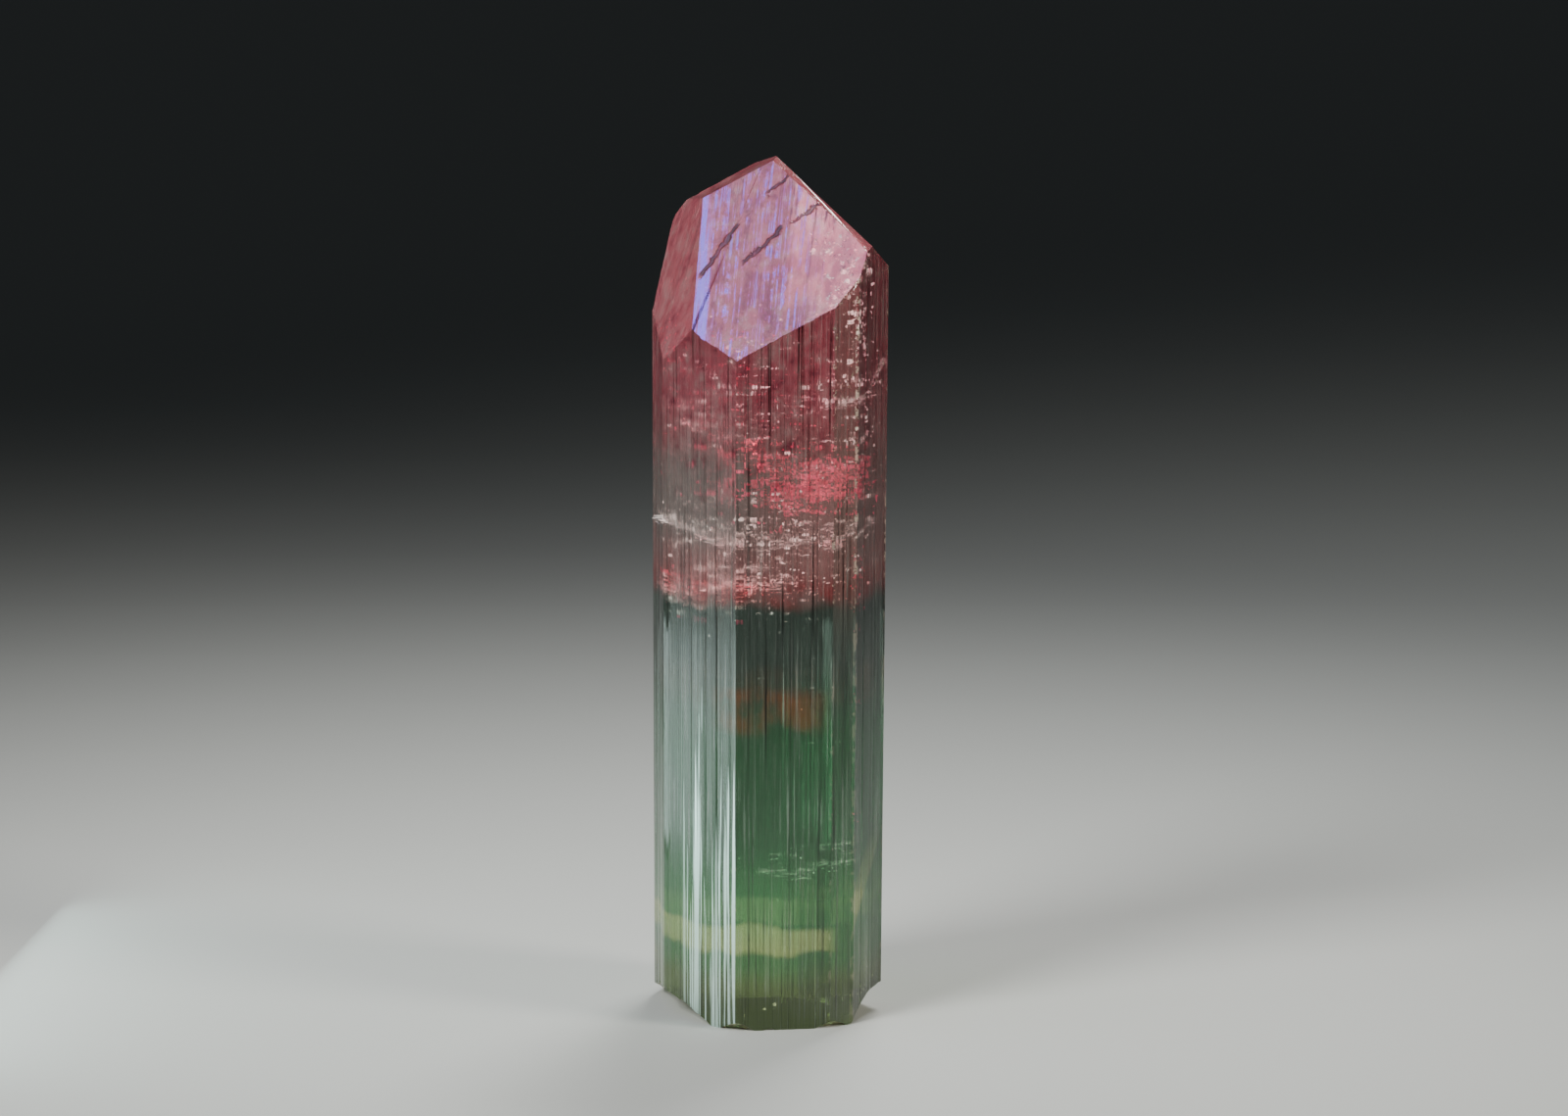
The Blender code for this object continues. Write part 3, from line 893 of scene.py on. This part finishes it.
def flakes(clusters, seed):
    """Thin six-sided flakes strewn round cluster centres, each turned at random.

    A flake is a ragged hexagon of radius r; its corners are
    centre + R (r cos a, r sin a, +-0.06 r) with a random rotation R.
    """
    rng = np.random.default_rng(seed)
    centres, sizes = [], []
    for centre, spread, count, (small, large) in clusters:
        cloud = photo_point(*centre) + rng.normal(0.0, 1.0, (count, 3)) * spread
        centres.append(cloud)
        sizes.append(small * (large / small) ** (rng.random(count) ** 2.0))
    centres = np.concatenate(centres)
    sizes = np.concatenate(sizes)
    kept = inside(centres, FLAKE_MARGIN)
    centres, sizes = centres[kept], sizes[kept]
    quaternions = rng.normal(size=(len(centres), 4))
    quaternions[:, 3] *= 0.6
    quaternions /= np.linalg.norm(quaternions, axis=1, keepdims=True)
    w, x, y, z = quaternions.T
    turns = np.array(
        [
            [1 - 2 * (y * y + z * z), 2 * (x * y - z * w), 2 * (x * z + y * w)],
            [2 * (x * y + z * w), 1 - 2 * (x * x + z * z), 2 * (y * z - x * w)],
            [2 * (x * z - y * w), 2 * (y * z + x * w), 1 - 2 * (x * x + y * y)],
        ]
    ).transpose(2, 0, 1)
    angle = np.arange(6) * np.pi / 3.0
    ragged = rng.uniform(0.45, 1.0, (len(centres), 6))
    flat = np.stack([np.cos(angle), np.sin(angle), 0 * angle], -1)[None] * ragged[..., None]
    thick = np.array([0.0, 0.0, FLAKE_THICKNESS])
    local = np.concatenate([flat - thick, flat + thick], 1) * sizes[:, None, None]
    points = np.einsum("nij,nkj->nki", turns, local) + centres[:, None]
    lower = [(0, i + 1, i) for i in range(1, 5)]
    upper = [(6, 6 + i, 7 + i) for i in range(1, 5)]
    walls = [(i, (i + 1) % 6, 6 + (i + 1) % 6) for i in range(6)]
    walls += [(i, 6 + (i + 1) % 6, 6 + i) for i in range(6)]
    pattern = np.array(lower + upper + walls)
    faces = pattern[None] + 12 * np.arange(len(points))[:, None, None]
    return points.reshape(-1, 3), faces.reshape(-1, 3)


def veil(centre, radii, tilt, look, waves, seed, rings=24, around=72):
    """One healed fracture: a thin wavy disc with a ragged rim.

    The disc is P(a, r) = centre + r (R1(a) cos a, R2(a) sin a) on a plane that falls by the
    tilt towards the look, raised by smooth noise; the lower skin lies 0.03 mm under it.
    """
    angle = np.arange(around) / around * 2.0 * np.pi
    radius = np.linspace(0.0, 1.0, rings)[1:, None]
    rim = 0.80 + 0.20 * smooth_noise(np.cos(angle) * 2.0, np.sin(angle) * 2.0, 0.7, seed)
    x = radius * rim * np.cos(angle) * radii[0]
    y = radius * rim * np.sin(angle) * radii[1]
    way = heading(look)
    z = -(x * way[0] + y * way[1]) * np.tan(np.radians(tilt))
    z = z + waves * smooth_noise(x, y, 1.6, seed + 1)
    z = z + 0.4 * waves * smooth_noise(x, y, 0.6, seed + 2)
    skin = np.stack([x, y, z], -1)
    thin = np.array([0.0, 0.0, VEIL_THICKNESS]) * np.sqrt(1.0 - radius[..., None] ** 2 * 0.98)
    upper = (skin + thin)[::-1]
    lower = skin - thin
    middle = np.array([[0.0, 0.0, z[0].mean()]])
    grid = np.concatenate([lower, upper]).reshape(-1, 3)
    faces = quads(2 * (rings - 1), around)
    j = np.arange(around)
    k = (j + 1) % around
    last = (2 * (rings - 1) - 1) * around
    count = len(grid)
    low = np.stack([k, j, np.full(around, count)], -1)
    high = np.stack([last + j, last + k, np.full(around, count + 1)], -1)
    points = np.concatenate([grid, middle - thin.min(), middle + thin.min()]) + centre
    triangles = np.concatenate([faces[:, [0, 1, 2]], faces[:, [0, 2, 3]], low, high])
    return points, triangles


def joined(bodies):
    """Several point and triangle arrays as one."""
    points, faces, start = [], [], 0
    for some_points, some_faces in bodies:
        points.append(some_points)
        faces.append(some_faces + start)
        start += len(some_points)
    return np.concatenate(points), np.concatenate(faces)


def centred(points):
    """Points moved from the outline's frame to the CAD's, in metres."""
    return (points - np.array([OUTLINE_MIDDLE[0], OUTLINE_MIDDLE[1], 0.0])) * MM


def glint_material(name, colour, roughness, glow):
    """Bright little mirrors: the walls of tiny cracks, which throw light back, with a painted
    glow of emission on top.
    """
    nodes = Nodes(name)
    x, y, z = nodes.place()
    # painted glints: emission that varies with noise makes the flakes glow
    tone = nodes.noise(nodes.join(x, y, z), 2.2, 2.0)
    nodes.set(
        Base_Color=colour,
        Metallic=1.0,
        Roughness=roughness,
        Emission_Color=nodes.shade(colour, tone.smooth(0.30, 0.72)),
        Emission_Strength=glow,
    )
    return nodes.material


def veil_material(name, colour, cover, glow):
    """A healed fracture: nothing but small patches where the seal is not perfect, made bright by
    a painted glow of emission.
    """
    nodes = Nodes(name)
    x, y, z = nodes.place()
    place = nodes.join(x, y, z * 2.0)
    patches = nodes.noise(place, 0.55, 2.0, 0.6)
    specks = nodes.noise(place, 3.2, 3.0, 0.75)
    seen = patches.smooth(0.50 - cover, 0.66 - cover) * specks.smooth(0.50, 0.60)
    # painted light: the patches glow by emission
    nodes.set(
        Base_Color=colour,
        Metallic=1.0,
        Roughness=0.25,
        Alpha=seen,
        Emission_Color=colour,
        Emission_Strength=glow,
    )
    return nodes.material


class CRYSTAL_OT_add_inclusions(bpy.types.Operator):
    """Build the healed fractures and the glints inside the stone"""

    bl_idname = "crystal.add_inclusions"
    bl_label = "Add what lies inside"

    def execute(self, context):
        for name, sheets, colour, cover, glow in (
            ("pale_veils", PALE_SHEETS, PALE_VEIL, 0.05, 0.7),
            ("crimson_veils", CRIMSON_SHEETS, CRIMSON_VEIL, 0.06, 0.7),
        ):
            bodies = []
            for middle, radii, tilt, look, waves, seed in sheets:
                bodies.append(veil(photo_point(*middle), radii, tilt, look, waves, seed))
            points, faces = joined(bodies)
            piece = mesh_piece(name, centred(points), faces)
            finish_piece(piece, veil_material(name, colour, cover, glow))

        for name, clusters, seed, colour, roughness, glow in (
            ("pale_glints", PALE_CLUSTERS, 11, PALE_GLINT, 0.22, 2.2),
            ("crimson_glints", CRIMSON_CLUSTERS, 14, CRIMSON_GLINT, 0.30, 0.9),
        ):
            points, faces = flakes(clusters, seed)
            piece = mesh_piece(name, centred(points), faces)
            finish_piece(piece, glint_material(name, colour, roughness, glow))
        return {"FINISHED"}


class CRYSTAL_OT_add_studio(bpy.types.Operator):
    """Build the pale floor, the soft lights and the camera"""

    bl_idname = "crystal.add_studio"
    bl_label = "Add the studio"

    def execute(self, context):
        settings = context.scene.studio_settings
        mesh = bpy.data.meshes.new("floor")
        reach = FLOOR_REACH
        front = [(-reach, -reach, 0.0), (reach, -reach, 0.0)]
        back = [(reach, reach, 0.0), (-reach, reach, 0.0)]
        mesh.from_pydata(front + back, [], [(0, 1, 2, 3)])
        mesh.materials.append(floor_material())
        floor = bpy.data.objects.new("floor", mesh)
        context.scene.collection.objects.link(floor)

        world = bpy.data.worlds.new("studio")
        world.use_nodes = True
        background = world.node_tree.nodes["Background"]
        background.inputs["Color"].default_value = SKY_GREY
        background.inputs["Strength"].default_value = settings.surround
        context.scene.world = world

        for name, place, size, power, colour, spread in LAMPS:
            add_lamp(name, place, LAMP_AIM, size, power, colour, spread)

        data = bpy.data.cameras.new("camera")
        data.lens = settings.lens
        data.sensor_width = 36.0
        data.clip_start = 0.01
        camera = bpy.data.objects.new("camera", data)
        tilt = settings.elevation
        target = Vector(CAMERA_TARGET)
        camera.location = target + settings.distance * Vector((0.0, -np.cos(tilt), np.sin(tilt)))
        camera.rotation_euler = (target - camera.location).to_track_quat("-Z", "Y").to_euler()
        context.scene.collection.objects.link(camera)
        context.scene.camera = camera
        return {"FINISHED"}


class CRYSTAL_PT_panel(bpy.types.Panel):
    """Builds the crystal and its studio"""

    bl_idname = "CRYSTAL_PT_panel"
    bl_label = "Tourmaline crystal"
    bl_space_type = "VIEW_3D"
    bl_region_type = "UI"
    bl_category = "Crystal"

    def draw(self, context):
        layout = self.layout
        settings = context.scene.crystal_settings
        for name in ("rows", "top_steps", "base_rings", "ledge_step", "ledge_depth", "seed"):
            layout.prop(settings, name)
        for name in ("rose", "leaf_green", "deep_green", "lilac"):
            layout.prop(settings, name)
        layout.operator("crystal.add_crystal")
        layout.operator("crystal.add_inclusions")
        studio = context.scene.studio_settings
        for name in ("elevation", "distance", "lens", "surround"):
            layout.prop(studio, name)
        layout.operator("crystal.add_studio")


CLASSES = (
    CrystalSettings,
    StudioSettings,
    CRYSTAL_OT_add_crystal,
    CRYSTAL_OT_add_inclusions,
    CRYSTAL_OT_add_studio,
    CRYSTAL_PT_panel,
)


def register():
    """Registers the classes and hangs their settings on the scene."""
    for kind in CLASSES:
        bpy.utils.register_class(kind)
    bpy.types.Scene.crystal_settings = PointerProperty(type=CrystalSettings)
    bpy.types.Scene.studio_settings = PointerProperty(type=StudioSettings)


def unregister():
    """Takes away what register added."""
    del bpy.types.Scene.studio_settings
    del bpy.types.Scene.crystal_settings
    for kind in reversed(CLASSES):
        bpy.utils.unregister_class(kind)


def main():
    """Builds everything in order."""
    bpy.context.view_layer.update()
    register()
    bpy.ops.crystal.add_crystal()
    bpy.ops.crystal.add_inclusions()
    bpy.ops.crystal.add_studio()


if __name__ == "__main__":
    main()
